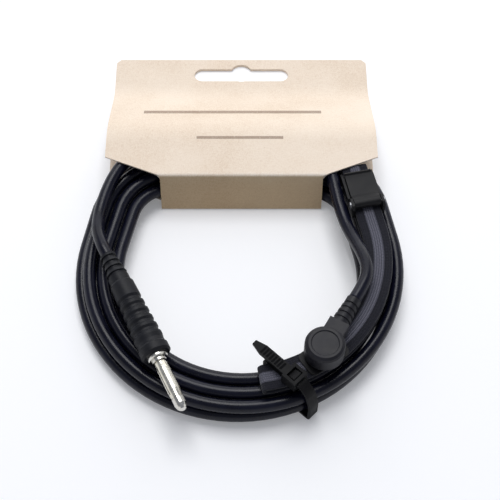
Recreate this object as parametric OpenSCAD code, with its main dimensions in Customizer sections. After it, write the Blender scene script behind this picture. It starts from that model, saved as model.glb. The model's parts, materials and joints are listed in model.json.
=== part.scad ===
// Wrist strap for static-safe work, coiled and hung on a folded card.
// A ground cord with a banana plug and a snap end lies in one coil. The elastic
// wrist band lies on the coil, and a cable tie holds both together.
// Millimetres, +Z up. The origin is on the underside of the card's back panel.

/* [Ground cord] */
// Diameter of the ground cord
cord_d = 4; // [3.6:0.1:4.2]
// Clear gap between neighbouring turns of the coil
turn_gap = 0.42; // [0.41:0.01:0.6]

/* [Coil] */
// Radius of the coil's round lower part, at the middle of its width
coil_r = 44; // [43:0.25:45]
// How far the middle of the round lower part lies above the ring's centre
coil_rise = 2.2; // [1.8:0.1:2.6]
// Distance from the ring's centre to the coil's straight top run, at mid width
coil_top = 40; // [39.5:0.25:42]
// Radius of the two shoulders beside the straight top run, at mid width
shoulder_r = 20; // [18:0.25:21]
// Angle at which the round lower part goes over into the straight sides
side_angle = 12; // [10:0.5:14]

/* [Hang card] */
// Thickness of the kraft card
card_t = 0.5; // [0.4:0.05:0.7]
// Width of the card's two panels
card_w = 88.5; // [85:0.5:100]
// Width of the folded spine that closes round the coil
spine_w = 52.5; // [48:0.5:54]
// Distance from the ring's centre to the card's top edge
card_top = 92; // [89:1:99]
// Distance from the ring's centre to the lower fold of the spine
fold_low = 28.5; // [27:0.1:28.8]
// Distance from the ring's centre to the upper fold of the spine
fold_high = 32.2; // [31:0.1:32.5]
// Height of the cut corners beside the spine
corner_cut = 7.4; // [5:0.1:10]
// Length of the hang slot
slot_l = 33; // [28:0.5:35]
// Height of the hang slot
slot_h = 5.5; // [5:0.25:6.5]
// Distance of the hang slot's centre from the card's top edge
slot_drop = 7; // [6.5:0.25:9]

/* [Wrist band] */
// Width of the elastic band
band_w = 8.4; // [7.6:0.2:8.6]
// Thickness of the elastic band
band_t = 1.3; // [1:0.1:1.4]
// Gap between the two runs of the flattened loop
band_gap = 1; // [0.9:0.1:1.4]
// How far the band's lower end lies nearer to the coil's inside than its side
band_shift = 3.5; // [3:0.1:4]
// Angle at which the band's lower end lies
band_end = -80; // [-84:1:-78]
// Length of the band's straight upper stretch
band_straight = 24; // [21:0.5:26]

/* [Clasp] */
// Thickness of the clasp's bent sheet
clasp_t = 0.8; // [0.6:0.1:1]
// Length of the clasp's frame along the band
clasp_l = 16; // [14:0.5:18]
// Radius of the clasp's hinge pin
clasp_pin_r = 0.8; // [0.6:0.05:0.9]

/* [Snap] */
// Angle along the band at which the snap stud stands
snap_angle = -55; // [-57:1:-53]
// Direction in which the cord leaves the snap end
snap_turn = 60; // [58:1:62]
// Radius of the stud's head
stud_r = 2; // [1.8:0.05:2.2]
// Height of the stud's neck above its flange
stud_neck = 0.9; // [0.8:0.05:1.2]
// Radius of the snap end's round housing
snap_r = 6; // [5.8:0.1:6.6]
// Height of the snap end's housing with its cap
snap_h = 6.4; // [6:0.1:7]
// Length of the snap end's strain relief
snap_relief_l = 9.5; // [8:0.5:9.5]

/* [Banana plug] */
// Direction in which the plug points, seen from above
plug_angle = -64.5; // [-66:0.5:-63]
// Radius of the moulded grip
grip_r = 4.65; // [4.4:0.05:5]
// Length of the moulded grip
grip_l = 27; // [25:0.5:27]
// Length of the plug's strain relief
plug_relief_l = 11; // [9:0.5:11]
// Radius of the plug's contact sleeve
contact_r = 2; // [1.9:0.05:2.1]
// Length of the pin in front of the grip
pin_l = 19; // [18:0.5:20]
// Radius of the pin's core inside the sleeve
core_r = 1.45; // [1.3:0.05:1.5]

/* [Cable tie] */
// Width of the cable tie's strap
tie_w = 3.4; // [2.5:0.1:3.6]
// Thickness of the cable tie's strap
tie_t = 1; // [0.9:0.05:1.2]
// Length of the strap's free tail beyond the head
tail_l = 13.5; // [10:0.5:15]
// Direction in which the tail points, seen from above
tie_turn = 136; // [130:1:140]

/* [Hidden] */

eps = 0.01;
run_clear = 0.05;
seat_gap = 0.2;

// Place of the ring's centre in the part's frame
card_off = 0.5;
panel_mid = (card_top + fold_low) / 2;
coil_at = [-card_off, -panel_mid, 0];

module ring_frame() {
    translate(coil_at) children();
}

// ---------------------------------------------------------------- coil path
// The mean loop starts at the left end of the straight top run and goes round
// counter-clockwise: shoulder, side, lower arc, side, shoulder, top run.
turn_pitch = cord_d + turn_gap;
turns_per_layer = 3;
loops = 2 * turns_per_layer;
coil_lift = tie_t + 0.1;
layer_low = coil_lift + cord_d / 2;
coil_side = (coil_top - coil_rise - coil_r * sin(side_angle)
    - shoulder_r * (1 - sin(side_angle))) / cos(side_angle);
top_half = coil_r * cos(side_angle) - coil_side * sin(side_angle)
    - shoulder_r * cos(side_angle);
shoulder_y = coil_top - shoulder_r;
coil_top_z = layer_low + turn_pitch + cord_d / 2;

shoulder_len = shoulder_r * (90 - side_angle) * PI / 180;
lower_len = coil_r * (180 + 2 * side_angle) * PI / 180;
mean_len = 2 * shoulder_len + 2 * coil_side + lower_len + 2 * top_half;
echo(mean_loop_mm = mean_len, cord_in_coil_mm = mean_len * loops);

shoulder_steps = 5;
lower_steps = 11;
loop_steps = 2 * shoulder_steps + lower_steps + 3;

function out(a) = [cos(a), sin(a)];

// Station k of one loop: [x, y, direction of the outward normal, length so far]
function station(k) =
    let (
        side_a = 180 - side_angle,
        k1 = shoulder_steps,
        k2 = k1 + 1,
        k3 = k2 + lower_steps,
        k4 = k3 + 1,
        k5 = k4 + shoulder_steps
    )
    k <= k1 ? let (a = 90 + (90 - side_angle) * k / shoulder_steps)
        arc_station([-top_half, shoulder_y], shoulder_r, a, shoulder_len * k / k1)
    : k <= k3 ? let (f = (k - k2) / lower_steps, a = side_a + (180 + 2 * side_angle) * f)
        arc_station([0, coil_rise], coil_r, a, shoulder_len + coil_side + lower_len * f)
    : k <= k5 ? let (f = (k - k4) / shoulder_steps, a = 360 + side_angle + (90 - side_angle) * f)
        arc_station([top_half, shoulder_y], shoulder_r, a,
            shoulder_len * (1 + f) + 2 * coil_side + lower_len)
    : arc_station([-top_half, shoulder_y], shoulder_r, 450, mean_len);

function arc_station(c, r, a, len) =
    [c[0] + r * cos(a), c[1] + r * sin(a), a, len];

// Offset across the coil: inward in the lower layer, outward in the upper one
function turn_offset(u) =
    turn_pitch * (abs(u - turns_per_layer) - turns_per_layer / 2);

// Height: the climb takes the half turn round the reversal
function smooth(t) = let (c = min(1, max(0, t))) c * c * (3 - 2 * c);
function turn_height(u) =
    layer_low + turn_pitch * smooth((u - turns_per_layer) / 0.5 + 0.5);

// Coil point at station i: [x, y, z, direction of the outward normal]
function coil_point(i) =
    let (
        k = i % loop_steps,
        s = station(k),
        u = floor(i / loop_steps) + s[3] / mean_len,
        n = out(s[2]),
        o = turn_offset(u)
    )
    [s[0] + o * n[0], s[1] + o * n[1], turn_height(u), s[2]];

coil_body = [for (i = [0:loops * loop_steps - 1]) coil_point(i)];
coil_first = coil_body[0];
coil_last = [-top_half, coil_first[1], layer_low + turn_pitch, 90];
coil_path = concat([coil_first + [cord_d, 0, 0, 0]], coil_body, [coil_last]);

// Least gap of the coil to itself, measured between its own centre points
half_loop = floor(loop_steps / 2);
coil_gaps = [
    for (i = [0:len(coil_path) - 1])
        for (j = [i + half_loop:1:len(coil_path) - 1])
            norm([for (c = [0:2]) coil_path[i][c] - coil_path[j][c]])
];
echo(least_gap_in_coil_mm = min(coil_gaps) - cord_d);

// ---------------------------------------------------------------- swept tubes
function side_of(t) = let (s = cross(t, [0, 0, 1])) s / norm(s);
function unit(v) = v / norm(v);

// Rings of a tube along a route: each ring stands square to the route
function route_dir(p, i) =
    i == 0 ? unit(p[1] - p[0])
    : i == len(p) - 1 ? unit(p[i] - p[i - 1])
    : unit(unit(p[i + 1] - p[i]) + unit(p[i] - p[i - 1]));

module tube_skin(rings, sides) {
    n = len(rings);
    points = [for (r = rings) each r];
    walls = [
        for (i = [0:n - 2])
            for (j = [0:sides - 1])
                let (
                    a = i * sides + j,
                    b = i * sides + (j + 1) % sides,
                    c = b + sides,
                    d = a + sides
                )
                each [[a, b, c], [a, c, d]]
    ];
    first_cap = [for (j = [1:sides - 2]) [0, j + 1, j]];
    last = (n - 1) * sides;
    last_cap = [for (j = [1:sides - 2]) [last, last + j, last + j + 1]];
    polyhedron(points = points, faces = concat(walls, first_cap, last_cap), convexity = 10);
}

module route_tube(p, d, sides = 8) {
    rings = [
        for (i = [0:len(p) - 1])
            let (t = route_dir(p, i), s = side_of(t), w = cross(s, t))
            [for (j = [0:sides - 1])
                let (a = 360 * (j + 0.5) / sides)
                p[i] + d / 2 * (cos(a) * s + sin(a) * w)]
    ];
    tube_skin(rings, sides);
}

// The coil: one unbroken tube of six sides with a flat underneath
module cord_coil() {
    sides = 6;
    rings = [
        for (c = coil_path)
            [for (j = [0:sides - 1])
                let (a = -60 * j, n = out(c[3]))
                [c[0] + cord_d / 2 * cos(a) * n[0],
                 c[1] + cord_d / 2 * cos(a) * n[1],
                 c[2] + cord_d / 2 * sin(a)]]
    ];
    color([0.09, 0.09, 0.11])
        ring_frame()
            tube_skin([for (i = [len(rings) - 1:-1:0]) rings[i]], sides);
}

// ---------------------------------------------------------------- plug place
plug_z = coil_top_z + grip_r + 0.1;
plug_shoulder = [-24.3, -32.6] * coil_r / 44;
plug_dir = out(plug_angle);
function along_plug(s) =
    [plug_shoulder[0] + s * plug_dir[0], plug_shoulder[1] + s * plug_dir[1], plug_z];
plug_back = -grip_l - plug_relief_l;

module plug_frame() {
    ring_frame()
        translate(along_plug(0))
            rotate([0, 90, plug_angle])
                children();
}

// ---------------------------------------------------------------- band place
// The band lies on an arc of its own: on the outer turns at the coil's side and
// on the middle ones at the tie.
band_r = coil_r - 1;
band_low = coil_top_z + seat_gap;
band_mid = band_low + band_t + band_gap / 2;
band_top = band_low + 2 * band_t + band_gap;

module band_frame() {
    ring_frame() translate([0, band_shift, 0]) children();
}

// ---------------------------------------------------------------- snap place
plate_t = 0.6;
snap_at = [0, band_shift] + band_r * out(snap_angle);
plate_top = band_top + plate_t;
flange_h = 0.5;
head_h = 1.5;
stud_top = plate_top + flange_h + stud_neck + head_h;
housing_low = plate_top + flange_h + seat_gap;
cord_exit_z = housing_low + 2.7;
neck_end = 9.2;
neck_w = 6.2;
snap_reach = neck_end + snap_relief_l;

module snap_frame(z = 0) {
    ring_frame()
        translate([snap_at[0], snap_at[1], z])
            rotate([0, 0, snap_turn])
                children();
}

function along_snap(s) =
    [snap_at[0] + s * cos(snap_turn), snap_at[1] + s * sin(snap_turn), cord_exit_z];

// ---------------------------------------------------------------- cord tails
// From the coil's upper end, over the turns, to the plug's strain relief
tail_plug_route = concat(
    [[coil_last[0], coil_last[1], coil_last[2]]],
    [
        [-24.4, 46.6, 7.6], [-29.2, 45.6, 8.8], [-33.8, 43, 10.4], [-37.6, 39.2, 11.4],
        [-40.4, 34.4, 11.6], [-42.4, 29, 11.6], [-43.8, 23.4, 11.6], [-44.6, 17.8, 11.8],
        [-44.4, 11.8, 12.9]
    ],
    [along_plug(plug_back - cord_d), along_plug(plug_back)]
);

// From the coil's lower end, up behind the coil, over its turns to the snap
tail_snap_route = concat(
    [[coil_path[0][0], coil_path[0][1], coil_path[0][2]]],
    [
        [-10, 47.2, 3.1], [-4, 48.8, 3.3], [2, 50.6, 4.6], [8, 51.4, 7], [14, 50.6, 9.6],
        [19.5, 48.2, 11.3], [24.4, 44.4, 11.6], [27.9, 39.6, 11.6], [29.8, 34, 11.6],
        [30.8, 28, 11.6], [31.8, 22, 11.6], [33.2, 16.4, 11.6], [34.8, 11.4, 12.2],
        [36.4, 6.6, 13.6], [37.7, 2, 15.2], [38.5, -2.6, 16.4], [38.1, -7.3, 17.1]
    ],
    [along_snap(snap_reach + 0.3 + cord_d), along_snap(snap_reach + 0.3)]
);

function route_len(p, i = 0) =
    i >= len(p) - 1 ? 0 : norm(p[i + 1] - p[i]) + route_len(p, i + 1);
echo(tail_plug_mm = route_len(tail_plug_route), tail_snap_mm = route_len(tail_snap_route));

module cord_tail_plug() {
    color([0.09, 0.09, 0.11]) ring_frame() route_tube(tail_plug_route, cord_d);
}

module cord_tail_snap() {
    color([0.09, 0.09, 0.11]) ring_frame() route_tube(tail_snap_route, cord_d);
}

// ---------------------------------------------------------------- sheet tools
// Corners of a polyline turned into short curves
function eased(pts, r, steps = 8) =
    let (n = len(pts))
    [
        for (i = [0:n - 1])
            if (i == 0 || i == n - 1 || r[i] == 0) pts[i]
            else
                let (
                    a = pts[i] + r[i] * unit(pts[i - 1] - pts[i]),
                    b = pts[i] + r[i] * unit(pts[i + 1] - pts[i])
                )
                each [for (k = [0:steps])
                    let (t = k / steps)
                    (1 - t) * (1 - t) * a + 2 * t * (1 - t) * pts[i] + t * t * b]
    ];

function left_of(v) = [-v[1], v[0]];
function mitre(p, i) =
    let (
        n = len(p),
        a = i == 0 ? unit(p[1] - p[0]) : unit(p[i] - p[i - 1]),
        b = i == n - 1 ? a : unit(p[i + 1] - p[i]),
        m = unit(left_of(a) + left_of(b))
    )
    m / (m * left_of(a));

// A polyline moved sideways by d at every corner
function shifted(p, d) = [for (i = [0:len(p) - 1]) p[i] + d * mitre(p, i)];

// A strip of thickness t along a centre line
function strip(p, t) =
    let (q = shifted(p, -t / 2))
    concat(shifted(p, t / 2), [for (i = [len(q) - 1:-1:0]) q[i]]);

module rounded_plate(w, l, t, r) {
    linear_extrude(t) {
        square([w - 2 * r, l], center = true);
        square([w, l - 2 * r], center = true);
        for (x = [-1, 1])
            for (y = [-1, 1])
                translate([x * (w / 2 - r), y * (l / 2 - r)]) circle(r, $fn = 24);
    }
}

// ---------------------------------------------------------------- hang card
fold_top_z = coil_top_z + cord_d + seat_gap + card_t;
bundle_back = coil_top + turn_pitch * turns_per_layer / 2 + cord_d / 2;
panel_join = card_top - 15.5;

// Side view of the folded sheet, from the back panel's top edge, round the
// spine, over the coil and down to where the two panels are glued together
card_corners = [
    [card_top, card_t / 2],
    [fold_low + card_t / 2, card_t / 2],
    [fold_high + card_t / 2, fold_top_z - card_t / 2],
    [bundle_back + 2.5, fold_top_z - card_t / 2],
    [panel_join, card_t * 1.5],
    [card_top, card_t * 1.5]
];
card_outside = eased(shifted(card_corners, card_t / 2), [0, 0.9, 0.9, 5, 4, 0]);
card_inside_corners = shifted(card_corners, -card_t / 2);
card_inside = eased(
    [for (i = [4, 1, 2, 3, 4]) card_inside_corners[i]],
    [0, 0.5, 0.5, 4.6, 0]
);

module card_profile() {
    difference() {
        polygon(card_outside);
        polygon([for (i = [0:len(card_inside) - 2]) card_inside[i]]);
    }
}

module hang_slot() {
    y = card_top - slot_drop;
    translate([0, y]) square([slot_l - slot_h, slot_h], center = true);
    for (s = [-1, 1])
        translate([s * (slot_l - slot_h) / 2, y]) circle(slot_h / 2, $fn = 48);
    translate([0, y + 0.9]) circle(slot_h * 0.7, $fn = 48);
}

module card_outline() {
    top_r = 1.5;
    w = card_w / 2;
    s = spine_w / 2;
    difference() {
        polygon([
            [-s, fold_low - 1], [s, fold_low - 1], [s, fold_high],
            [w, fold_high + corner_cut], [w, card_top - top_r], [w - top_r, card_top],
            [top_r - w, card_top], [-w, card_top - top_r],
            [-w, fold_high + corner_cut], [-s, fold_high]
        ]);
        hang_slot();
    }
}

module hang_card() {
    color([0.85, 0.76, 0.64])
        ring_frame()
            translate([card_off, 0, 0])
                intersection() {
                    rotate([90, 0, 90])
                        translate([0, 0, -card_w])
                            linear_extrude(2 * card_w) card_profile();
                    translate([0, 0, -1]) linear_extrude(fold_top_z + 2) card_outline();
                }
}

// ---------------------------------------------------------------- banana plug
module plug_grip() {
    rib = 1.5;
    ribs = 5;
    rib_at = -grip_l * 0.72;
    color([0.12, 0.13, 0.12])
        plug_frame()
            difference() {
                rotate_extrude($fn = 48)
                    polygon(concat(
                        [[0, -grip_l], [grip_r * 0.74, -grip_l], [grip_r * 0.8, -grip_l + 0.6]],
                        [[grip_r * 0.83, rib_at - rib]],
                        [for (i = [0:ribs - 1])
                            let (z = rib_at + i * 2 * rib, r = grip_r * (0.84 + 0.03 * i))
                            each [[r - 0.5, z - rib / 2], [r - 0.5, z], [r, z + rib * 0.4],
                                [r, z + rib]]],
                        [[grip_r * 0.9, -4.6], [grip_r * 0.92, -3.4], [grip_r, -2.8],
                            [grip_r, -0.6], [grip_r - 0.6, 0], [0, 0]]
                    ));
                translate([0, 0, -11]) cylinder(r = core_r, h = 11 + eps, $fn = 32);
            }
}

module plug_strain_relief() {
    fins = 4;
    root_r = grip_r * 0.7;
    tip_r = cord_d / 2 + 0.5;
    step = (plug_relief_l - 2.2) / fins;
    color([0.1, 0.1, 0.11])
        plug_frame()
            translate([0, 0, plug_back])
                rotate_extrude($fn = 32)
                    polygon(concat(
                        [[0, 0], [tip_r, 0]],
                        [for (i = [0:fins - 1])
                            let (f = i / (fins - 1), r = tip_r + f * (root_r - tip_r), z = 0.8 + i * step)
                            each [[r, z], [r - 0.45, z + 0.1], [r - 0.45, z + step * 0.45],
                                [r, z + step * 0.55]]],
                        [[root_r, plug_relief_l], [0, plug_relief_l]]
                    ));
}

sleeve_start = 2.4;
sleeve_end = pin_l - 4.2;

module plug_pin() {
    color([0.82, 0.82, 0.8])
        plug_frame() {
            translate([0, 0, -10.5]) cylinder(r = core_r, h = 10.5, $fn = 32);
            rotate_extrude($fn = 40)
                polygon([
                    [0, 0], [3.1, 0], [3.1, 0.9], [2.8, 1.2], [2.2, 1.2], [2.2, sleeve_start - seat_gap],
                    [core_r, sleeve_start - seat_gap], [core_r, sleeve_end + seat_gap],
                    [contact_r - 0.15, sleeve_end + seat_gap], [contact_r - 0.15, pin_l - 1.9],
                    [contact_r - 0.45, pin_l - 0.9], [contact_r - 0.95, pin_l - 0.25],
                    [contact_r - 1.4, pin_l], [0, pin_l]
                ]);
        }
}

// Slotted contact sleeve: bowed leaves between two closed collars
module plug_contact_sleeve() {
    slits = 6;
    wall = 0.32;
    bore_r = core_r + run_clear;
    color([0.88, 0.87, 0.83])
        plug_frame()
            difference() {
                rotate_extrude($fn = 48)
                    polygon([
                        [bore_r, sleeve_start], [bore_r + wall * 0.7, sleeve_start],
                        [contact_r - 0.15, sleeve_start + 1], [contact_r, sleeve_start + 2.6],
                        [contact_r, sleeve_end - 2.6], [contact_r - 0.15, sleeve_end - 1],
                        [bore_r + wall * 0.7, sleeve_end], [bore_r, sleeve_end],
                        [bore_r, sleeve_end - 0.8], [contact_r - wall, sleeve_end - 2.6],
                        [contact_r - wall, sleeve_start + 2.6], [bore_r, sleeve_start + 0.8]
                    ]);
                for (i = [0:slits - 1])
                    rotate([0, 0, i * 360 / slits])
                        translate([0, -0.17, sleeve_start + 1.3])
                            cube([contact_r + 1, 0.34, sleeve_end - sleeve_start - 2.6]);
            }
}

// ---------------------------------------------------------------- wrist band
band_steps = 28;

// Plan of the band: an arc along the coil, then a straight stretch
function band_edge(r) = concat(
    [for (i = [0:band_steps])
        let (a = band_end + (side_angle - band_end) * i / band_steps)
        [r * cos(a), r * sin(a)]],
    [[r * cos(side_angle) - band_straight * sin(side_angle),
        r * sin(side_angle) + band_straight * cos(side_angle)]]
);

module band_run(z) {
    inner = band_edge(band_r - band_w / 2);
    translate([0, 0, z])
        linear_extrude(band_t)
            polygon(concat(
                band_edge(band_r + band_w / 2),
                [for (i = [len(inner) - 1:-1:0]) inner[i]]
            ));
}

// Turned end of the flattened loop, open towards -Y, sunk a little into both runs
bight_lap = 0.05;

module band_bight() {
    translate([0, -bight_lap, 0])
        rotate([0, 90, 0])
            rotate_extrude(angle = 180, $fn = 40)
                translate([band_gap / 2, -band_w / 2]) square([band_t, band_w]);
}

shank_r = 0.9;

module wrist_band() {
    color([0.16, 0.17, 0.22])
        difference() {
            band_frame() {
                band_run(band_low);
                band_run(band_low + band_t + band_gap);
                rotate([0, 0, side_angle])
                    translate([band_r, band_straight, band_mid]) band_bight();
                rotate([0, 0, band_end])
                    translate([band_r, 0, band_mid]) rotate([0, 0, 180]) band_bight();
            }
            snap_frame(band_mid) cylinder(r = shank_r, h = band_t + band_gap, $fn = 24);
        }
}

// ---------------------------------------------------------------- snap parts
skin_plate_t = 0.5;
skin_plate_l = 11;
snap_plate_l = 14;
plate_corner_r = 1.5;
shank_hole_h = 3;
skin_plate_z = band_low + band_t + band_gap - skin_plate_t;

module contact_plate() {
    color([0.75, 0.76, 0.78])
        snap_frame(skin_plate_z)
            rotate([0, 0, snap_angle - snap_turn])
                difference() {
                    rounded_plate(band_w - 1, skin_plate_l, skin_plate_t, plate_corner_r);
                    translate([0, 0, -1]) cylinder(r = shank_r, h = shank_hole_h, $fn = 24);
                }
}

module snap_plate() {
    color([0.72, 0.73, 0.75])
        snap_frame(band_top)
            rotate([0, 0, snap_angle - snap_turn])
                difference() {
                    rounded_plate(band_w, snap_plate_l, plate_t, plate_corner_r + 0.5);
                    translate([0, 0, -1]) cylinder(r = shank_r, h = shank_hole_h, $fn = 24);
                }
}

module snap_stud() {
    neck_r = stud_r - 0.4;
    rivet_low = skin_plate_z - 0.4;
    color([0.8, 0.8, 0.82])
        snap_frame()
            rotate_extrude($fn = 40)
                polygon([
                    [0, rivet_low], [1.6, rivet_low], [1.7, skin_plate_z - eps],
                    [shank_r - eps, skin_plate_z - eps], [shank_r - eps, plate_top],
                    [3.4, plate_top], [3.2, plate_top + flange_h],
                    [neck_r, plate_top + flange_h], [neck_r, plate_top + flange_h + stud_neck],
                    [stud_r, plate_top + flange_h + stud_neck + 0.45],
                    [stud_r, stud_top - 0.5], [stud_r - 0.5, stud_top], [0, stud_top]
                ]);
}

// Spring cup that takes the stud's head
cup_r = stud_r + 0.75;
spring_wire_r = 0.25;
spring_z = plate_top + flange_h + stud_neck / 2 + 0.1;
cap_t = 2.1;
housing_top = housing_low + snap_h - cap_t;

module snap_socket() {
    lip_r = stud_r + run_clear;
    top = stud_top + 0.35;
    color([0.78, 0.78, 0.8])
        snap_frame()
            rotate_extrude($fn = 40)
                polygon([
                    [lip_r, housing_low], [cup_r + 1.1, housing_low], [cup_r + 1.1, housing_low + 0.4],
                    [cup_r, housing_low + 0.4], [cup_r, top + 0.4], [0, top + 0.4], [0, top],
                    [lip_r, top], [lip_r, spring_z + spring_wire_r + 0.05],
                    [lip_r + 0.3, spring_z + spring_wire_r + 0.05],
                    [lip_r + 0.3, spring_z - spring_wire_r - 0.05],
                    [lip_r, spring_z - spring_wire_r - 0.05]
                ]);
}

// Split wire ring that snaps under the stud's head
module snap_ring_spring() {
    r = stud_r - 0.4 + run_clear + spring_wire_r;
    color([0.7, 0.7, 0.7])
        snap_frame(spring_z)
            rotate([0, 0, 15])
                rotate_extrude(angle = 330, $fn = 48)
                    translate([r, 0]) circle(spring_wire_r, $fn = 16);
}

chamber_w = 2.6;
chamber_h = 2.4;
chamber_l = 4.6;

module snap_housing() {
    h = snap_h - cap_t;
    color([0.1, 0.1, 0.12])
        snap_frame(housing_low)
            difference() {
                union() {
                    rotate_extrude($fn = 64)
                        polygon([
                            [0, 0], [snap_r - 0.5, 0], [snap_r, 0.5], [snap_r, h], [0, h]
                        ]);
                    translate([0, -neck_w / 2, 0]) cube([neck_end, neck_w, h]);
                }
                translate([0, 0, -1]) cylinder(r = cup_r + eps, h = h + 2, $fn = 40);
                translate([0, 0, -1]) cylinder(r = cup_r + 1.1 + eps, h = 1.4 + eps, $fn = 40);
                translate([cup_r + 0.7, -chamber_w / 2, h - chamber_h])
                    cube([chamber_l, chamber_w, chamber_h + 1]);
            }
}

module snap_cap() {
    rim = 0.7;
    color([0.11, 0.11, 0.13])
        snap_frame(housing_top) {
            difference() {
                union() {
                    rotate_extrude($fn = 64)
                        polygon([
                            [0, 0], [snap_r, 0], [snap_r, cap_t - 1.1], [snap_r - 0.35, cap_t - 0.45],
                            [snap_r - 1.1, cap_t], [snap_r - 1.1 - rim, cap_t],
                            [snap_r - 1.4 - rim, cap_t - 0.25], [0, cap_t - 0.1]
                        ]);
                    translate([0, -neck_w / 2, 0]) cube([neck_end, neck_w, cap_t - 1]);
                }
                translate([0, 0, -1]) cylinder(r = cup_r + 0.1, h = 1.6, $fn = 40);
            }
        }
}

module snap_resistor() {
    r = 0.85;
    x = cup_r + 0.7 + chamber_l / 2;
    z = housing_top - chamber_h + r + 0.15;
    color([0.72, 0.62, 0.42])
        snap_frame(z)
            translate([x, 0, 0])
                rotate([0, 90, 0]) {
                    cylinder(r = r, h = 3, center = true, $fn = 24);
                    cylinder(r = 0.25, h = chamber_l, center = true, $fn = 16);
                }
}

module snap_strain_relief() {
    fins = 4;
    root_r = 2.7;
    tip_r = cord_d / 2 + 0.3;
    step = (snap_relief_l - 1.8) / fins;
    color([0.1, 0.1, 0.11])
        snap_frame(cord_exit_z)
            translate([neck_end, 0, 0])
                rotate([0, 90, 0])
                    rotate_extrude($fn = 32)
                        polygon(concat(
                            [[0, 0], [root_r, 0], [root_r, 0.8]],
                            [for (i = [0:fins - 1])
                                let (f = i / (fins - 1), r = root_r + f * (tip_r - root_r), z = 0.8 + i * step)
                                each [[r - 0.35, z + 0.1], [r - 0.35, z + step * 0.4],
                                    [r, z + step * 0.5], [r, z + step]]],
                            [[tip_r, snap_relief_l], [0, snap_relief_l]]
                        ));
}

// ---------------------------------------------------------------- clasp
clasp_gap = 0.3;
clasp_in = band_w / 2 + clasp_gap;
clasp_base_t = 0.5;
clasp_base_z = band_low + band_t + (band_gap - clasp_base_t) / 2;
clasp_at = band_straight - clasp_l / 2 - 1.5;
hinge_y = -clasp_l / 2 + 2.4;
knuckle_r = clasp_pin_r + 0.65;
hinge_z = band_top + 0.2 + knuckle_r;
wall_top = hinge_z + knuckle_r;

module clasp_frame_place() {
    band_frame()
        rotate([0, 0, side_angle])
            translate([band_r, clasp_at, 0])
                children();
}

// Hinge line in the frame of the part, for the record of the lever's joint
hinge_r = [band_r, clasp_at + hinge_y];
hinge_point = [
    hinge_r[0] * cos(side_angle) - hinge_r[1] * sin(side_angle) + coil_at[0],
    hinge_r[0] * sin(side_angle) + hinge_r[1] * cos(side_angle) + band_shift + coil_at[1],
    hinge_z
];
echo(clasp_hinge = hinge_point, clasp_axis_angle = side_angle);
echo(snap_axis = [snap_at[0] + coil_at[0], snap_at[1] + coil_at[1], housing_low]);
echo(plug_front = along_plug(0) + coil_at, plug_tip = along_plug(pin_l) + coil_at);
echo(hang_slot = [0, card_top - slot_drop + coil_at[1], card_t]);

// Bent stainless frame: a base plate under the upper run and two side walls
module clasp_frame() {
    w = clasp_in + clasp_t;
    color([0.7, 0.71, 0.73])
        clasp_frame_place()
            difference() {
                union() {
                    translate([-w, -clasp_l / 2, clasp_base_z])
                        cube([2 * w, clasp_l, clasp_base_t]);
                    for (s = [-1, 1])
                        translate([s > 0 ? clasp_in : -w, 0, 0])
                            rotate([90, 0, 90])
                                linear_extrude(clasp_t)
                                    polygon([
                                        [-clasp_l / 2, clasp_base_z], [clasp_l / 2, clasp_base_z],
                                        [clasp_l / 2, band_top - 0.3], [clasp_l / 2 - 2.5, band_top + 0.5],
                                        [hinge_y + 3.4, band_top + 0.5], [hinge_y + 1.6, wall_top],
                                        [hinge_y - 1.4, wall_top], [-clasp_l / 2, wall_top - 1.2]
                                    ]);
                }
                translate([-w - 1, hinge_y, hinge_z])
                    rotate([0, 90, 0]) cylinder(r = clasp_pin_r, h = 2 * w + 2, $fn = 32);
            }
}

module clasp_pin() {
    w = clasp_in + clasp_t + 0.35;
    color([0.6, 0.61, 0.63])
        clasp_frame_place()
            translate([-w, hinge_y, hinge_z])
                rotate([0, 90, 0]) {
                    translate([0, 0, 0.35]) cylinder(r = clasp_pin_r, h = 2 * w - 0.7, $fn = 32);
                    cylinder(r = clasp_pin_r + 0.3, h = 0.35, $fn = 32);
                    translate([0, 0, 2 * w - 0.35]) cylinder(r = clasp_pin_r + 0.3, h = 0.35, $fn = 32);
                }
}

// Cam lever: a knuckle on the pin, a flat blade over the band and a turned-up lip
module clasp_lever() {
    w = clasp_in - seat_gap;
    blade = 0.9;
    low = band_top + 0.45;
    reach = clasp_l - 3.4;
    color([0.77, 0.78, 0.8])
        clasp_frame_place()
            translate([-w, hinge_y, 0])
                rotate([90, 0, 90])
                    linear_extrude(2 * w)
                        difference() {
                            union() {
                                translate([0, hinge_z]) circle(knuckle_r, $fn = 32);
                                polygon([
                                    [0, hinge_z + knuckle_r], [0.4, low + 0.1], [1.4, low],
                                    [reach - 1.8, low], [reach - 0.6, low + 0.35], [reach, low + 1.1],
                                    [reach - 0.7, low + 1.6], [reach - 1.2, low + 1.05],
                                    [reach - 2.2, low + blade], [3.6, low + blade],
                                    [1.6, hinge_z + knuckle_r * 0.75]
                                ]);
                            }
                            translate([0, hinge_z]) circle(clasp_pin_r + run_clear, $fn = 32);
                        }
}

// ---------------------------------------------------------------- cable tie
tie_angle = -70.2;
tie_at = [0, coil_rise] + coil_r * out(tie_angle);
tie_slant = tie_turn - 180 - tie_angle;
tie_spread = tie_w / 2 * tan(tie_slant) + tie_t / 2;
coil_half_at_tie = turn_pitch * (turns_per_layer / 2 - 0.4) + cord_d / 2;
band_in_at_tie = norm(tie_at - [0, band_shift]) - band_r;
wrap_half = coil_half_at_tie / cos(tie_slant) + tie_spread + 0.13;
wrap_top_in = (band_w / 2 + band_in_at_tie) / cos(tie_slant) + tie_spread + 0.7;
tie_low = tie_t / 2 + 0.05;
tie_high = band_top + 0.1 + tie_t / 2;
slot_z = tie_high + 1.9;
head_x = [-1.35, 3.65];
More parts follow.
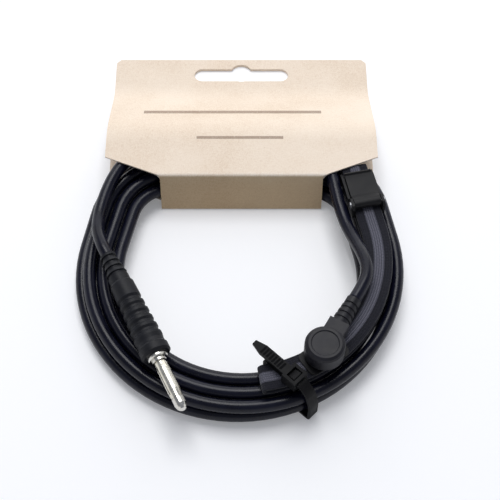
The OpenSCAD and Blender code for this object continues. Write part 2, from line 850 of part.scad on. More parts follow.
// The strap passes outside the band and leaves room to turn into the head
turn_in = 3.6;
wrap_top_out = max(
    head_x[1] + turn_in,
    (band_w / 2 - band_in_at_tie) / cos(tie_slant) + tie_spread + 1
);
head_z = [band_top + 0.15, slot_z + 1.9];
head_w = tie_w + 2.2;

// Centre line of the strap in its own plane: +x points away from the tail
tie_route = eased(
    [
        [head_x[0] + 0.6, tie_high], [-wrap_top_in, tie_high], [-wrap_half, coil_top_z - 0.4],
        [-wrap_half, tie_low], [wrap_half, tie_low], [wrap_half, coil_top_z - 1.2],
        [wrap_top_out, tie_high], [head_x[1] + 0.8, slot_z], [head_x[0] - tail_l, slot_z]
    ],
    [0, 1, 1.6, 1.6, 1.6, 2.2, 1.6, 0.8, 0]
);

module tie_frame() {
    ring_frame()
        translate([tie_at[0], tie_at[1], 0])
            rotate([0, 0, tie_turn - 180])
                children();
}

// Strap, head and ratchet teeth are one moulding
module cable_tie() {
    tooth = 1.1;
    teeth = floor((tail_l - 4) / tooth);
    color([0.05, 0.05, 0.06])
        tie_frame()
            difference() {
                union() {
                    rotate([90, 0, 0])
                        translate([0, 0, -tie_w / 2])
                            linear_extrude(tie_w) polygon(strip(tie_route, tie_t));
                    for (i = [0:teeth - 1])
                        translate([head_x[0] - 1.6 - i * tooth, 0, slot_z + tie_t / 2 - eps])
                            rotate([90, 0, 0])
                                translate([0, 0, -tie_w / 2 + 0.5])
                                    linear_extrude(tie_w - 1)
                                        polygon([[0, 0], [-0.7, 0.3], [-0.8, 0]]);
                    difference() {
                        translate([head_x[0], -head_w / 2, head_z[0]])
                            cube([head_x[1] - head_x[0], head_w, head_z[1] - head_z[0]]);
                        translate([head_x[0] - 1, -tie_w / 2 - 0.15, slot_z - tie_t / 2 - 0.15])
                            cube([head_x[1] - head_x[0] + 2, tie_w + 0.3, tie_t + 0.3]);
                        translate([head_x[0] + 1, -tie_w / 2 - 0.15, slot_z])
                            cube([head_x[1] - head_x[0] - 2, tie_w + 0.3, 5]);
                    }
                }
                // the tail narrows to its tip
                for (s = [-1, 1])
                    translate([head_x[0] - tail_l, s * tie_w / 2, slot_z - 1])
                        rotate([0, 0, s * 14])
                            translate([-3, s > 0 ? -0.9 : -2.1, 0]) cube([8, 3, 2]);
            }
}

// Locking pawl inside the head, above the strap
pawl_hinge = [head_x[1] - 1.5, slot_z + tie_t / 2 + 0.85];

module cable_tie_pawl() {
    color([0.07, 0.07, 0.08])
        tie_frame()
            rotate([90, 0, 0])
                translate([0, 0, -tie_w / 2 + 0.2])
                    linear_extrude(tie_w - 0.4) {
                        translate(pawl_hinge) circle(0.45, $fn = 24);
                        polygon([
                            pawl_hinge + [0.2, -0.35], pawl_hinge + [0.2, 0.4],
                            pawl_hinge + [-0.6, 0.45], pawl_hinge + [-1.9, -0.1],
                            pawl_hinge + [-1.8, -0.6], pawl_hinge + [-1.1, -0.6],
                            pawl_hinge + [-0.6, -0.3]
                        ]);
                    }
}

tie_inward = out(tie_turn);
echo(pawl_hinge_at = [
    tie_at[0] + coil_at[0] - pawl_hinge[0] * tie_inward[0],
    tie_at[1] + coil_at[1] - pawl_hinge[0] * tie_inward[1],
    pawl_hinge[1]
]);

hang_card();
cord_coil();
cord_tail_plug();
cord_tail_snap();
plug_grip();
plug_strain_relief();
plug_pin();
plug_contact_sleeve();
snap_housing();
snap_cap();
snap_socket();
snap_ring_spring();
snap_resistor();
snap_strain_relief();
wrist_band();
contact_plate();
snap_plate();
snap_stud();
clasp_frame();
clasp_lever();
clasp_pin();
cable_tie();
cable_tie_pawl();
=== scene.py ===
"""Packed grounding wrist strap: finishes, cords and soft pieces over the CAD frame."""

import json
import math

import bpy
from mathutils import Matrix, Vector


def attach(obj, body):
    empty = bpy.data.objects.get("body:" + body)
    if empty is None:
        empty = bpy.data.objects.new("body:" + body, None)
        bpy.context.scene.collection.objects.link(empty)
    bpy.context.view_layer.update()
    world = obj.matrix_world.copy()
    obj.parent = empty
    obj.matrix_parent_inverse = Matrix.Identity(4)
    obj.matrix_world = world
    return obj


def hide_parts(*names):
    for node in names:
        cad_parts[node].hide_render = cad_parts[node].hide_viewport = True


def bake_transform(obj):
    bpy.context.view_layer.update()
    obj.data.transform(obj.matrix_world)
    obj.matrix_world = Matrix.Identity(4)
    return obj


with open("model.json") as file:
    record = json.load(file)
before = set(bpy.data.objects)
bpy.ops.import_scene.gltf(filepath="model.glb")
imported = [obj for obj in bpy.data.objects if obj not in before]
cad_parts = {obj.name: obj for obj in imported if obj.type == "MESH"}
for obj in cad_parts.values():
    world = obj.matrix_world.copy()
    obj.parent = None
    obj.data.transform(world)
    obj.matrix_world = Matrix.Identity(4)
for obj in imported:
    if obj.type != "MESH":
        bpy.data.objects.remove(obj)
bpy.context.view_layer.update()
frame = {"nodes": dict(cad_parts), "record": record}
nodes = frame["nodes"]
ROOT = "strap_pack"
MM = 0.001
WHITE = (1, 1, 1, 1)
BLACK = (0, 0, 0, 1)

# ------------------------------------------------------------------ sizes, mm
# Ring coordinates have their origin at the middle of the coil, as the routes do.
COIL_AT = Vector((-0.5, -60.25, 0))
SEAT_GAP = 0.2

# The cord, and how its turns lie
CORD_D = 4.0
TURN_GAP = 0.42
TURNS_PER_LAYER = 3
COIL_LIFT = 1.1
# Share of a turn over which it climbs to the upper layer
CLIMB = 0.5

# The coil's mean loop: round below, straight sides that lean in, round shoulders, a flat top
COIL_R = 44.0
COIL_RISE = 2.2
COIL_TOP = 40.0
SHOULDER_R = 20.0
SIDE_ANGLE = 12.0

# The band's flattened loop: its webbing, and the line that it follows
BAND_W = 8.4
BAND_T = 1.3
BAND_GAP = 1.0
BAND_EDGE_R = 0.5
BAND_CENTRE = Vector((0, 3.5, 0))
BAND_R = COIL_R - 1.0
BAND_END = -80.0
BAND_STRAIGHT = 24.0

# Heights
PITCH = CORD_D + TURN_GAP
LAYER_LOW = COIL_LIFT + CORD_D / 2
COIL_TOP_Z = LAYER_LOW + PITCH + CORD_D / 2
BAND_LOW = COIL_TOP_Z + SEAT_GAP
BAND_MID = BAND_LOW + BAND_T + BAND_GAP / 2
BAND_HIGH = BAND_LOW + 2 * BAND_T + BAND_GAP


def part(p):
    """A point in ring coordinates, in mm, as a point of the part's frame in metres."""
    return (Vector(p) + COIL_AT) * MM


def heading(angle):
    """The flat direction at an angle in degrees."""
    a = math.radians(angle)
    return Vector((math.cos(a), math.sin(a), 0))


# ------------------------------------------------------------------ camera
# In degrees, mm and pixels of the 500 by 500 photograph, where the coil's middle is at RING_CENTRE_PX
CAMERA_ELEVATION = 59.8
CAMERA_DISTANCE = 370.0
CAMERA_FOCAL_PX = 1165.0
IMAGE_PX = 500.0
SENSOR_MM = 36
RING_CENTRE_PX = (239.9, 284.4)


def make_camera():
    data = bpy.data.cameras.new("camera")
    cam = bpy.data.objects.new("camera", data)
    bpy.context.scene.collection.objects.link(cam)
    e = math.radians(CAMERA_ELEVATION)
    back = Vector((0, -math.cos(e), math.sin(e)))
    cam.location = part(back * CAMERA_DISTANCE)
    cam.rotation_mode = "QUATERNION"
    cam.rotation_quaternion = (-back).to_track_quat("-Z", "Y")
    data.sensor_width = SENSOR_MM
    data.lens = CAMERA_FOCAL_PX / IMAGE_PX * SENSOR_MM
    data.shift_x = (IMAGE_PX / 2 - RING_CENTRE_PX[0]) / IMAGE_PX
    data.shift_y = (RING_CENTRE_PX[1] - IMAGE_PX / 2) / IMAGE_PX
    data.clip_start = 0.01
    data.clip_end = 20
    bpy.context.scene.camera = cam


# ------------------------------------------------------------------ mesh tools
def new_object(name, mesh, smooth=True):
    ob = bpy.data.objects.new(name, mesh)
    bpy.context.scene.collection.objects.link(ob)
    if smooth:
        mesh.polygons.foreach_set("use_smooth", [True] * len(mesh.polygons))
    return ob


def skin(name, rings, uvs, closed_path=False):
    """A mesh through rings of points of equal number; uvs gives (u, v) for ring i, point j."""
    count, sides = len(rings), len(rings[0])
    points = [p for ring in rings for p in ring]
    faces, coords = [], []
    for i in range(count if closed_path else count - 1):
        k = (i + 1) % count
        for j in range(sides):
            m = (j + 1) % sides
            faces.append((i * sides + j, i * sides + m, k * sides + m, k * sides + j))
            coords.append(((i, j), (i, j + 1), (i + 1, j + 1), (i + 1, j)))
    if not closed_path:
        for i, order in ((0, range(sides - 1, -1, -1)), (count - 1, range(sides))):
            faces.append(tuple(i * sides + j for j in order))
            coords.append(tuple((i, j) for j in order))
    mesh = bpy.data.meshes.new(name)
    mesh.from_pydata(points, [], faces)
    layer = mesh.uv_layers.new(name="UVMap")
    for poly, corner in zip(mesh.polygons, coords):
        for loop, (i, j) in zip(poly.loop_indices, corner):
            layer.data[loop].uv = uvs(i, j)
    mesh.validate()
    return new_object(name, mesh)


def lengths(path):
    """Length along a path up to each point."""
    run = [0.0]
    for a, b in zip(path, path[1:]):
        run.append(run[-1] + (b - a).length)
    return run


def smooth_route(points, steps=6):
    """A centripetal Catmull-Rom curve through the points, led in and out straight."""
    pts = [Vector(p) for p in points]
    pts = [2 * pts[0] - pts[1]] + pts + [2 * pts[-1] - pts[-2]]
    out = []
    for p0, p1, p2, p3 in zip(pts, pts[1:], pts[2:], pts[3:]):
        t0 = 0.0
        t1 = t0 + (p1 - p0).length ** 0.5
        t2 = t1 + (p2 - p1).length ** 0.5
        t3 = t2 + (p3 - p2).length ** 0.5
        for k in range(steps):
            t = t1 + (t2 - t1) * k / steps
            a1 = p0 * ((t1 - t) / (t1 - t0)) + p1 * ((t - t0) / (t1 - t0))
            a2 = p1 * ((t2 - t) / (t2 - t1)) + p2 * ((t - t1) / (t2 - t1))
            a3 = p2 * ((t3 - t) / (t3 - t2)) + p3 * ((t - t2) / (t3 - t2))
            b1 = a1 * ((t2 - t) / (t2 - t0)) + a2 * ((t - t0) / (t2 - t0))
            b2 = a2 * ((t3 - t) / (t3 - t1)) + a3 * ((t - t1) / (t3 - t1))
            out.append(b1 * ((t2 - t) / (t2 - t1)) + b2 * ((t - t1) / (t2 - t1)))
    out.append(pts[-2])
    return out


def tube(name, path, diameter, sides=20):
    """A round tube along a path in ring coordinates, its rings kept from twisting."""
    run = lengths(path)
    angles = [2 * math.pi * j / sides for j in range(sides)]
    side = Vector((0, 0, 1))
    rings = []
    for i, p in enumerate(path):
        ahead = path[min(i + 1, len(path) - 1)] - path[max(i - 1, 0)]
        t = ahead.normalized()
        side = (side - t * side.dot(t)).normalized()
        up = t.cross(side)
        rings.append([part(p + diameter / 2 * (math.cos(a) * side + math.sin(a) * up)) for a in angles])
    return skin(name, rings, lambda i, j: (run[i] * MM, j / sides))


# ------------------------------------------------------------------ material tools
def srgb(r, g, b):
    """A colour written as 0 to 255 screen values."""
    def line(c):
        c /= 255
        return c / 12.92 if c <= 0.04045 else ((c + 0.055) / 1.055) ** 2.4
    return (line(r), line(g), line(b), 1)


class Nodes:
    """Short calls for a node tree. A value may be a number or a socket."""

    def __init__(self, tree):
        self.tree = tree

    def add(self, kind, **values):
        node = self.tree.nodes.new(kind)
        for key, value in values.items():
            setattr(node, key, value)
        return node

    def put(self, socket, value):
        if isinstance(value, bpy.types.NodeSocket):
            self.tree.links.new(value, socket)
        else:
            socket.default_value = value

    def coords(self, kind):
        return self.add("ShaderNodeTexCoord").outputs[kind]

    def xyz(self, vector):
        n = self.add("ShaderNodeSeparateXYZ")
        self.put(n.inputs[0], vector)
        return n.outputs

    def stretched(self, coords, scale, turn=(0, 0, 0)):
        n = self.add("ShaderNodeMapping")
        self.put(n.inputs["Scale"], scale)
        self.put(n.inputs["Rotation"], turn)
        self.put(n.inputs["Vector"], coords)
        return n.outputs["Vector"]

    def noise(self, coords, scale, detail=3, roughness=0.55):
        n = self.add("ShaderNodeTexNoise")
        self.put(n.inputs["Scale"], scale)
        self.put(n.inputs["Detail"], detail)
        self.put(n.inputs["Roughness"], roughness)
        self.put(n.inputs["Vector"], coords)
        return n.outputs["Fac"]

    def math(self, operation, a, b=0.0):
        n = self.add("ShaderNodeMath", operation=operation)
        self.put(n.inputs[0], a)
        self.put(n.inputs[1], b)
        return n.outputs[0]

    def times(self, a, b):
        return self.math("MULTIPLY", a, b)

    def plus(self, a, b):
        return self.math("ADD", a, b)

    def minus(self, a, b):
        return self.math("SUBTRACT", a, b)

    def apart(self, a, b):
        """Distance between two values."""
        return self.math("ABSOLUTE", self.minus(a, b))

    def sum_of(self, *weighted):
        """Sum of (value, weight) pairs."""
        total = None
        for value, weight in weighted:
            share = self.times(value, weight)
            total = share if total is None else self.plus(total, share)
        return total

    def ramp(self, value, *stops):
        n = self.add("ShaderNodeValToRGB")
        self.put(n.inputs["Fac"], value)
        elements = n.color_ramp.elements
        while len(elements) < len(stops):
            elements.new(0.5)
        for element, (at, colour) in zip(elements, stops):
            element.position = at
            element.color = colour
        return n.outputs["Color"]

    def spread(self, value, low, high, between=(0.25, 0.75), course="LINEAR"):
        """A value that runs between two bounds, as one from low to high."""
        n = self.add("ShaderNodeMapRange", interpolation_type=course)
        self.put(n.inputs["Value"], value)
        self.put(n.inputs["From Min"], between[0])
        self.put(n.inputs["From Max"], between[1])
        self.put(n.inputs["To Min"], low)
        self.put(n.inputs["To Max"], high)
        return n.outputs["Result"]

    def mask_over(self, value, low, high, course="LINEAR"):
        """0 below low, 1 above high."""
        return self.spread(value, 0, 1, (low, high), course)

    def mix(self, factor, a, b, way="MIX"):
        n = self.add("ShaderNodeMix", data_type="RGBA", blend_type=way)
        self.put(n.inputs[0], factor)
        self.put(n.inputs[6], a)
        self.put(n.inputs[7], b)
        return n.outputs[2]

    def tinted(self, a, b):
        return self.mix(1.0, a, b, "MULTIPLY")

    def bump(self, height, distance, strength):
        n = self.add("ShaderNodeBump")
        self.put(n.inputs["Strength"], strength)
        self.put(n.inputs["Distance"], distance)
        self.put(n.inputs["Height"], height)
        return n.outputs["Normal"]

    def seen(self):
        """1 for the rays that show a thing: the camera's and those in a reflection or through glass."""
        rays = self.add("ShaderNodeLightPath").outputs
        reflected = self.math("MAXIMUM", rays["Is Camera Ray"], rays["Is Glossy Ray"])
        return self.math("MAXIMUM", reflected, rays["Is Transmission Ray"])


class Finish(Nodes):
    """A material, its node tree and its shader."""

    def __init__(self, name):
        self.mat = bpy.data.materials.new(name)
        self.mat.use_nodes = True
        super().__init__(self.mat.node_tree)
        self.shader = self.tree.nodes["Principled BSDF"]

    def done(self, **inputs):
        for key, value in inputs.items():
            self.put(self.shader.inputs[key.replace("_", " ")], value)
        return self.mat


# ------------------------------------------------------------------ card
# Places on the card, in metres in the part's frame
CARD_T = 0.0005
CARD_FOLD_Y = -0.0279
CARD_SPINE_Y = -0.0282
CARD_SPINE_EDGE = 0.0004
# The card's print is left plain: two rules, as middle x, middle y, half length, half height
CARD_RULES = ((-0.0030, 0.0025, 0.0300, 0.0010), (-0.0005, -0.0128, 0.0142, 0.0006))
CARD_RULES_ABOVE = 0.0065
# Distances from the fold between which its scuffing fades out
SCUFF_FADE = (0.0001, 0.0013)
# How far the fibres wander from straight lines
FIBRE_WANDER = 0.004

BOARD_TONES = ((0.40, srgb(224, 203, 180)), (0.53, srgb(239, 223, 204)), (0.66, srgb(246, 232, 215)))
# Painted shade: a darker, browner multiply for the spine strip below the fold, standing in for its
# shadow
SPINE_PAINTED_SHADE = (0.81, 0.71, 0.54, 1)
FLECK_COLOUR = srgb(172, 140, 108)
SCUFF_COLOUR = srgb(250, 243, 232)
INK_COLOUR = srgb(138, 116, 100)
# Shares of full cover, and of the ink the share that wear takes off
FLECK_COVER = 0.35
SCUFF_COVER = 0.6
INK_COVER = 0.72
INK_WORN = 0.45


def rules_mask(n, x, y, z):
    """1 on the printed rules of the front panel."""
    ink = 0.0
    for mid_x, mid_y, half_l, half_h in CARD_RULES:
        in_x = n.math("LESS_THAN", n.apart(x, mid_x), half_l)
        in_y = n.math("LESS_THAN", n.apart(y, mid_y), half_h)
        ink = n.math("MAXIMUM", ink, n.times(in_x, in_y))
    return n.times(ink, n.math("GREATER_THAN", z, CARD_RULES_ABOVE))


def kraft_board():
    """Uncoated board: matted fibres, flecks, clouds, a scuffed fold, two printed rules and painted
    shade on the spine.
    """
    n = Finish("kraft_board")
    at = n.coords("Object")
    x, y, z = n.xyz(at)
    bent = n.add("ShaderNodeVectorMath", operation="ADD")
    n.put(bent.inputs[0], at)
    n.put(bent.inputs[1], n.times(n.noise(at, 180, detail=2), FIBRE_WANDER))
    fibre = n.noise(n.stretched(bent.outputs[0], (1, 5, 2)), 700, detail=4, roughness=0.7)
    cross = n.noise(n.stretched(bent.outputs[0], (4, 1, 2), (0, 0, 0.5)), 800, detail=4, roughness=0.7)
    matted = n.math("MAXIMUM", fibre, cross)
    fleck = n.noise(n.stretched(at, (1.4, 0.8, 1)), 2400, detail=1, roughness=0.4)
    cloud = n.noise(at, 38)

    tone = n.sum_of((matted, 0.55), (fleck, 0.15), (cloud, 0.3))
    board = n.ramp(tone, *BOARD_TONES)
    board = n.mix(n.times(n.mask_over(fleck, 0.70, 0.76), FLECK_COVER), board, FLECK_COLOUR)

    near_fold = n.minus(1.0, n.mask_over(n.apart(y, CARD_FOLD_Y), *SCUFF_FADE))
    scuffed = n.times(near_fold, n.mask_over(n.sum_of((cross, 1.0), (cloud, 0.5)), 0.66, 0.92))
    board = n.mix(n.times(scuffed, SCUFF_COVER), board, SCUFF_COLOUR)

    # Painted shade: the spine strip below the fold is multiplied darker and browner, as if it lay in
    # shadow
    below_fold = n.mask_over(y, CARD_SPINE_Y + CARD_SPINE_EDGE, CARD_SPINE_Y)
    spine = n.times(n.math("GREATER_THAN", z, CARD_T), below_fold)
    board = n.mix(spine, board, n.tinted(board, SPINE_PAINTED_SHADE))

    cover = n.minus(INK_COVER, n.times(n.mask_over(matted, 0.58, 0.75), INK_WORN))
    board = n.mix(n.times(rules_mask(n, x, y, z), cover), board, INK_COLOUR)
    return n.done(Base_Color=board, Roughness=n.spread(fibre, 0.78, 0.92), Specular_IOR_Level=0.2,
                  Normal=n.bump(matted, distance=0.00008, strength=0.5))


# ------------------------------------------------------------------ plastics and metals
def cord_jacket():
    """Smooth jacket with faint draw lines along it and slightly uneven gloss."""
    n = Finish("cord_jacket")
    streak = n.noise(n.stretched(n.coords("UV"), (60, 1, 1)), 16)
    smear = n.noise(n.coords("Object"), 160)
    colour = n.ramp(smear, (0.3, srgb(8, 9, 22)), (0.7, srgb(15, 17, 34)))
    return n.done(Base_Color=colour, Roughness=n.spread(smear, 0.22, 0.34), Specular_IOR_Level=0.24,
                  Normal=n.bump(streak, distance=0.00004, strength=0.35))


def moulding(name, low, high, rough, shine):
    """Dark plastic with a fine grain; its tone runs from low to high, its roughness over rough."""
    n = Finish(name)
    at = n.coords("Object")
    grain = n.noise(at, 4200, detail=2, roughness=0.6)
    wear = n.noise(at, 240, detail=4)
    colour = n.ramp(wear, (0.3, srgb(*low)), (0.72, srgb(*high)))
    return n.done(Base_Color=colour, Roughness=n.spread(wear, *rough), Specular_IOR_Level=shine,
                  Normal=n.bump(grain, distance=0.00003, strength=0.4))


def metal(name, low, high, rough, stretch=(1, 1, 1), turn=(0, 0, 0)):
    """Metal with a faint haze and fine lines, which are stretched where it is brushed."""
    n = Finish(name)
    at = n.coords("Object")
    lines = n.noise(n.stretched(at, stretch, turn), 2500, roughness=0.6)
    haze = n.noise(at, 320)
    colour = n.ramp(haze, (0.3, srgb(*low)), (0.7, srgb(*high)))
    return n.done(Base_Color=colour, Metallic=1.0, Normal=n.bump(lines, distance=0.00001, strength=0.3),
                  Roughness=n.spread(n.sum_of((lines, 0.6), (haze, 0.4)), *rough))


def lacquer():
    """Tan lacquer, a little uneven."""
    n = Finish("lacquer")
    haze = n.noise(n.coords("Object"), 900)
    colour = n.ramp(haze, (0.3, srgb(176, 150, 104)), (0.7, srgb(205, 182, 136)))
    return n.done(Base_Color=colour, Roughness=n.spread(haze, 0.25, 0.4),
                  Normal=n.bump(haze, distance=0.00003, strength=0.3))


# ------------------------------------------------------------------ webbing
# Metres on the webbing
WEFT_PITCH = 0.0005
WARP_PITCH = 0.0007
STRIPE_HALF = 0.0016


def waves(n, value, pitch):
    """Rounded ridges with a pitch, from 0 to 1."""
    return n.math("ABSOLUTE", n.math("SINE", n.times(value, math.pi / pitch)))


def woven_elastic():
    """Black webbing: weft floats over the rubber warp, with a stripe of grey conductive threads."""
    n = Finish("woven_elastic")
    along, across, _ = n.xyz(n.coords("UV"))
    column = n.math("FLOOR", n.math("DIVIDE", across, WARP_PITCH))
    weft = waves(n, n.plus(along, n.times(column, WEFT_PITCH / 2)), WEFT_PITCH)
    warp = waves(n, across, WARP_PITCH)
    cloth = n.times(n.math("POWER", weft, 0.6), n.math("POWER", warp, 0.5))
    fuzz = n.noise(n.coords("Object"), 1800, roughness=0.7)
    patch = n.noise(n.coords("Object"), 150)

    tone = n.sum_of((cloth, 0.5), (fuzz, 0.35), (patch, 0.15))
    colour = n.ramp(tone, (0.2, srgb(5, 5, 11)), (0.8, srgb(27, 28, 40)))
    stripe = n.math("LESS_THAN", n.math("ABSOLUTE", across), STRIPE_HALF)
    colour = n.mix(n.times(stripe, n.times(cloth, 0.75)), colour, srgb(126, 126, 140))
    height = n.sum_of((cloth, 1.0), (fuzz, 0.5))
    return n.done(Base_Color=colour, Roughness=0.88, Specular_IOR_Level=0.3, Sheen_Weight=0.12,
                  Sheen_Roughness=0.5, Normal=n.bump(height, distance=0.00012, strength=0.8))


MATERIALS = {
    "kraft_card": kraft_board(),
    "cord_jacket": cord_jacket(),
    "plug_moulding": moulding("plug_moulding", (11, 12, 17), (22, 24, 31), (0.46, 0.6), 0.23),
    "plug_metal": metal("plug_metal", (196, 194, 188), (222, 220, 214), (0.16, 0.3)),
    "contact_metal": metal("contact_metal", (206, 202, 190), (228, 225, 214), (0.18, 0.32)),
    "snap_moulding": moulding("snap_moulding", (12, 12, 18), (25, 25, 33), (0.46, 0.58), 0.3),
    "snap_metal": metal("snap_metal", (186, 186, 186), (214, 214, 214), (0.18, 0.34)),
    "spring_wire": metal("spring_wire", (150, 150, 152), (186, 186, 188), (0.25, 0.4)),
    "resistor_body": lacquer(),
    "elastic": woven_elastic(),
    "clasp_steel": metal("clasp_steel", (150, 151, 154), (182, 183, 186), (0.38, 0.56),
                         stretch=(6, 0.25, 6), turn=(0, 0, math.radians(-8))),
    "clasp_coated": moulding("clasp_coated", (11, 11, 13), (20, 20, 23), (0.48, 0.6), 0.22),
    "tie_nylon": moulding("tie_nylon", (6, 6, 8), (12, 12, 15), (0.5, 0.64), 0.14),
}


def dress(ob, slot):
    ob.data.materials.clear()
    ob.data.materials.append(MATERIALS[slot])


def dress_cad():
    for sub in frame["record"]["subparts"]:
        for s in nodes[sub["node"]].material_slots:
            s.link = "OBJECT"
            s.material = MATERIALS[sub["material_slot"]]


# ------------------------------------------------------------------ cords
TAIL_PLUG_ROUTE = [
    (-24.4, 46.6, 7.6), (-29.2, 45.6, 8.8), (-33.8, 43, 10.4), (-37.6, 39.2, 11.4),
    (-40.4, 34.4, 11.6), (-42.4, 29, 11.6), (-43.8, 23.4, 11.6), (-44.6, 17.8, 11.8),
    (-44.4, 11.8, 12.9),
]
TAIL_SNAP_ROUTE = [
    (-10, 47.2, 3.1), (-4, 48.8, 3.3), (2, 50.6, 4.6), (8, 51.4, 7), (14, 50.6, 9.6),
    (19.5, 48.2, 11.3), (24.4, 44.4, 11.6), (27.9, 39.6, 11.6), (29.8, 34, 11.6),
    (30.8, 28, 11.6), (31.8, 22, 11.6), (33.2, 16.4, 11.6), (34.8, 11.4, 12.2),
    (36.4, 6.6, 13.6), (37.7, 2, 15.2), (38.5, -2.6, 16.4), (38.1, -7.3, 17.1),
]
# The plug: its direction, the front of its grip, and where the cord enters it behind that
PLUG_TURN = -64.5
GRIP_R = 4.65
GRIP_CLEAR = 0.1
PLUG_FRONT = Vector((-24.3, -32.6, COIL_TOP_Z + GRIP_R + GRIP_CLEAR))
PLUG_BACK = -38.0
# The snap end: its place on the band, its direction, its reach, and the heights under its cord
SNAP_ANGLE = -55.0
SNAP_TURN = 60.0
SNAP_REACH = 18.7
PLATE_T = 0.6
FLANGE_H = 0.5
HOUSING_CORD_Z = 2.7
SNAP_CORD_Z = BAND_HIGH + PLATE_T + FLANGE_H + SEAT_GAP + HOUSING_CORD_Z
# From the snap's reach to the cord's end, and to the point that leads it in straight
END_CLEAR = 0.1
LEAD_CLEAR = 0.3 + CORD_D


def coil_legs():
    """The mean loop's legs, as (length, radius), with no radius on a straight one."""
    a = math.radians(SIDE_ANGLE)
    side_rise = COIL_TOP - COIL_RISE - COIL_R * math.sin(a) - SHOULDER_R * (1 - math.sin(a))
    side = side_rise / math.cos(a)
    half_top = (COIL_R - SHOULDER_R) * math.cos(a) - side * math.sin(a)
    shoulder = SHOULDER_R * (math.pi / 2 - a)
    lower = COIL_R * (math.pi + 2 * a)
    return ((shoulder, SHOULDER_R), (side, None), (lower, COIL_R), (side, None),
            (shoulder, SHOULDER_R), (2 * half_top, None))


def on_loop(legs, s):
    """Point and outward direction at length s of the mean loop, anticlockwise from its top left."""
    at = Vector((-legs[-1][0] / 2, COIL_TOP, 0))
    outward = 90.0
    for length, radius in legs:
        run = min(s, length)
        s -= run
        if radius:
            centre = at - radius * heading(outward)
            outward += math.degrees(run / radius)
            at = centre + radius * heading(outward)
        else:
            at = at + run * heading(outward + 90)
        if s <= 0:
            break
    return at, heading(outward)


def coil_line(steps_per_loop=96):
    """The coil's centre line: inward in the lower layer, outward in the upper one."""
    legs = coil_legs()
    total = sum(length for length, _ in legs)
    path = []
    for i in range(2 * TURNS_PER_LAYER * steps_per_loop + 1):
        turn = i / steps_per_loop
        p, outward = on_loop(legs, total * (turn % 1.0))
        offset = PITCH * (abs(turn - TURNS_PER_LAYER) - TURNS_PER_LAYER / 2)
        t = min(1.0, max(0.0, (turn - TURNS_PER_LAYER) / CLIMB + 0.5))
        z = LAYER_LOW + PITCH * t * t * (3 - 2 * t)
        path.append(p + offset * outward + Vector((0, 0, z)))
    return path


def make_plug_cord(start, coil):
    """The coil and its tail to the plug, as one tube."""
    ahead = heading(PLUG_TURN)
    plug_end = PLUG_FRONT + PLUG_BACK * ahead
    to_plug = smooth_route([coil[-1], *TAIL_PLUG_ROUTE, plug_end - CORD_D * ahead, plug_end])
    line = [start, *coil, *to_plug[1:]]
    cord = tube("ground_cord", line, CORD_D)
    dress(cord, "cord_jacket")
    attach(cord, ROOT)
    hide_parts("cord_coil", "cord_tail_plug")


def make_snap_cord(start):
    """The cord's other tail, out of the fold and down to the snap end."""
    out = heading(SNAP_TURN)
    snap = BAND_CENTRE + BAND_R * heading(SNAP_ANGLE) + Vector((0, 0, SNAP_CORD_Z))
    end = snap + (SNAP_REACH + END_CLEAR) * out
    lead = snap + (SNAP_REACH + LEAD_CLEAR) * out
    line = smooth_route([start, *TAIL_SNAP_ROUTE, lead, end])
    cord = tube("ground_cord_tail", line, CORD_D)
    dress(cord, "cord_jacket")
    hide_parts("cord_tail_snap")
    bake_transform(cord)


def make_cords():
    """Both cords, from one start a cord's width beside the coil's first point."""
    coil = coil_line()
    start = coil[0] + Vector((CORD_D, 0, 0))
    make_plug_cord(start, coil)
    make_snap_cord(start)


# ------------------------------------------------------------------ wrist band
# Ribs across the webbing: their pitch in mm, and the share of its thickness that they take
RIB_PITCH = 1.0
RIB_DEPTH = 0.09
# How finely it is drawn: along a rib, round each end of the loop, and on its section
STATIONS_PER_RIB = 4
TURN_STATIONS = 14
EDGE_STEPS = 4
FACE_STEPS = 8


def band_length():
    """Length of one run of the band: its arc and the straight stretch after it."""
    return BAND_R * math.radians(SIDE_ANGLE - BAND_END) + BAND_STRAIGHT


def band_plan(s):
    """Plan point, direction and outward normal at length s along one run of the band."""
    arc = band_length() - BAND_STRAIGHT
    angle = BAND_END + math.degrees(min(s, arc) / BAND_R)
    along, normal = heading(angle + 90), heading(angle)
    return BAND_CENTRE + BAND_R * normal + max(0.0, s - arc) * along, along, normal


def band_section():
    """Cross-section of the webbing: soft edges and flat faces, as (across, up) in mm."""
    in_w = BAND_W / 2 - BAND_EDGE_R
    in_t = BAND_T / 2 - BAND_EDGE_R
    section = []
    for quarter, (cx, cy) in enumerate(((1, 1), (-1, 1), (-1, -1), (1, -1))):
        for k in range(EDGE_STEPS + 1):
            edge = BAND_EDGE_R * heading(90 * (quarter + k / EDGE_STEPS))
            section.append((cx * in_w + edge.x, cy * in_t + edge.y))
        if cx == cy:
            for k in range(1, FACE_STEPS):
                section.append((cx * in_w * (1 - 2 * k / FACE_STEPS), cy * BAND_T / 2))
    return section


def band_line():
    """Stations once round the flattened loop: centre, across and outward directions."""
    total = band_length()
    steps = round(total / RIB_PITCH) * STATIONS_PER_RIB
    turn_r = (BAND_T + BAND_GAP) / 2
    up = Vector((0, 0, 1))
    for side, here in ((-1, 0.0), (1, total)):
        for k in range(steps):
            p, _, across = band_plan(here - side * total * k / steps)
            yield p + up * (BAND_MID + side * turn_r), across, side * up
        p, along, across = band_plan(total - here)
        for k in range(TURN_STATIONS):
            a = math.pi * k / TURN_STATIONS
            way = side * up * math.cos(a) - side * along * math.sin(a)
            yield p + up * BAND_MID + turn_r * way, across, way


def make_band():
    section = band_section()
    stations = list(band_line())
    run = lengths([c for c, _, _ in stations] + [stations[0][0]])
    rings = []
    for (c, across, way), s in zip(stations, run):
        squeeze = 1 - RIB_DEPTH * math.sin(math.pi * s / RIB_PITCH) ** 2
        rings.append([part(c + x * across + y * squeeze * way) for x, y in section])
    band = skin(
        "wrist_band_weave", rings, lambda i, j: (run[i] * MM, section[j % len(section)][0] * MM),
        closed_path=True,
    )
    dress(band, "elastic")
    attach(band, ROOT)
    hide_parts("wrist_band")


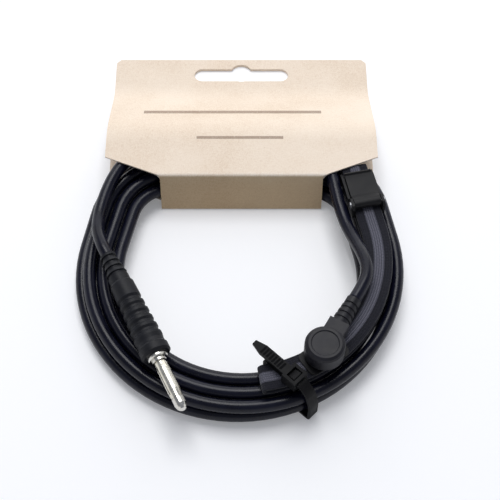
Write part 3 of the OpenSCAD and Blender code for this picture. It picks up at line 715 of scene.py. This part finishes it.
# ------------------------------------------------------------------ CAD pieces
# Metres and degrees
EDGE_BEVEL = 0.00012
EDGE_ANGLE = 40


def soften_cad():
    """A small bevel on the sharp edges of each CAD piece that shows."""
    for ob in nodes.values():
        if ob.hide_render:
            continue
        mod = ob.modifiers.new("edges", "BEVEL")
        mod.width = EDGE_BEVEL
        mod.segments = 2
        mod.limit_method = "ANGLE"
        mod.angle_limit = math.radians(EDGE_ANGLE)
        mod.harden_normals = False


# ------------------------------------------------------------------ stage, in metres
FLOOR_HALF = 6.0
FLOOR_DROP = 0.0001
FLOOR_COLOUR = (0.86, 0.865, 0.88, 1)
FLOOR_GLOW = 0.19
# Distances between which the floor turns to plain white where it is seen
FLOOR_FADE = (0.10, 0.70)
SKY_LIGHT = (0.26, 0.273, 0.31, 1)
# Sine of the elevation up to which the white background reaches, and where it has faded out
BACKGROUND_TOP = (0.20, 0.50)
LIGHTS_AIM = Vector((0, -0.05, 0))
# Softboxes, as name, place, size and power: one overhead, one low behind the card
SOFTBOXES = (
    ("key", (-0.03, 0.42, 1.22), 0.7, 10.4),
    ("back", (0.0, 1.0, 0.52), 1.4, 7.2),
)


def make_floor():
    """A pale floor that keeps the shadow and turns white far away."""
    ways = ((-1, -1), (1, -1), (1, 1), (-1, 1))
    corners = [(x * FLOOR_HALF, y * FLOOR_HALF, -FLOOR_DROP) for x, y in ways]
    mesh = bpy.data.meshes.new("floor")
    mesh.from_pydata(corners, [], [(0, 1, 2, 3)])
    floor = new_object("floor", mesh, smooth=False)
    n = Finish("floor")
    away = n.add("ShaderNodeVectorMath", operation="LENGTH")
    n.put(away.inputs[0], n.coords("Object"))
    far = n.mask_over(away.outputs["Value"], *FLOOR_FADE, "SMOOTHERSTEP")
    seen = n.seen()
    colour = n.mix(n.times(seen, far), FLOOR_COLOUR, BLACK)
    glow = n.times(seen, n.plus(FLOOR_GLOW, n.times(far, 1 - FLOOR_GLOW)))
    mesh.materials.append(n.done(
        Base_Color=colour, Roughness=0.9, Specular_IOR_Level=0.0,
        Emission_Color=WHITE, Emission_Strength=glow,
    ))


def make_world():
    """A dim, bluish sky as light, and a white background round the horizon where rays show it."""
    world = bpy.data.worlds.new("world")
    world.use_nodes = True
    bpy.context.scene.world = world
    n = Nodes(world.node_tree)
    level = n.spread(n.xyz(n.coords("Generated"))["Z"], 1, 0, BACKGROUND_TOP, "SMOOTHSTEP")
    colour = n.mix(n.times(level, n.seen()), SKY_LIGHT, WHITE)
    n.put(n.tree.nodes["Background"].inputs["Color"], colour)


def make_lights():
    for name, place, size, power in SOFTBOXES:
        data = bpy.data.lights.new(name, "AREA")
        data.size = size
        data.energy = power
        light = bpy.data.objects.new(name, data)
        bpy.context.scene.collection.objects.link(light)
        light.location = place
        light.rotation_mode = "QUATERNION"
        light.rotation_quaternion = (LIGHTS_AIM - Vector(place)).to_track_quat("-Z", "Y")


bpy.context.scene.view_settings.view_transform = "Standard"
make_camera()
make_cords()
make_band()
dress_cad()
soften_cad()
make_floor()
make_world()
make_lights()
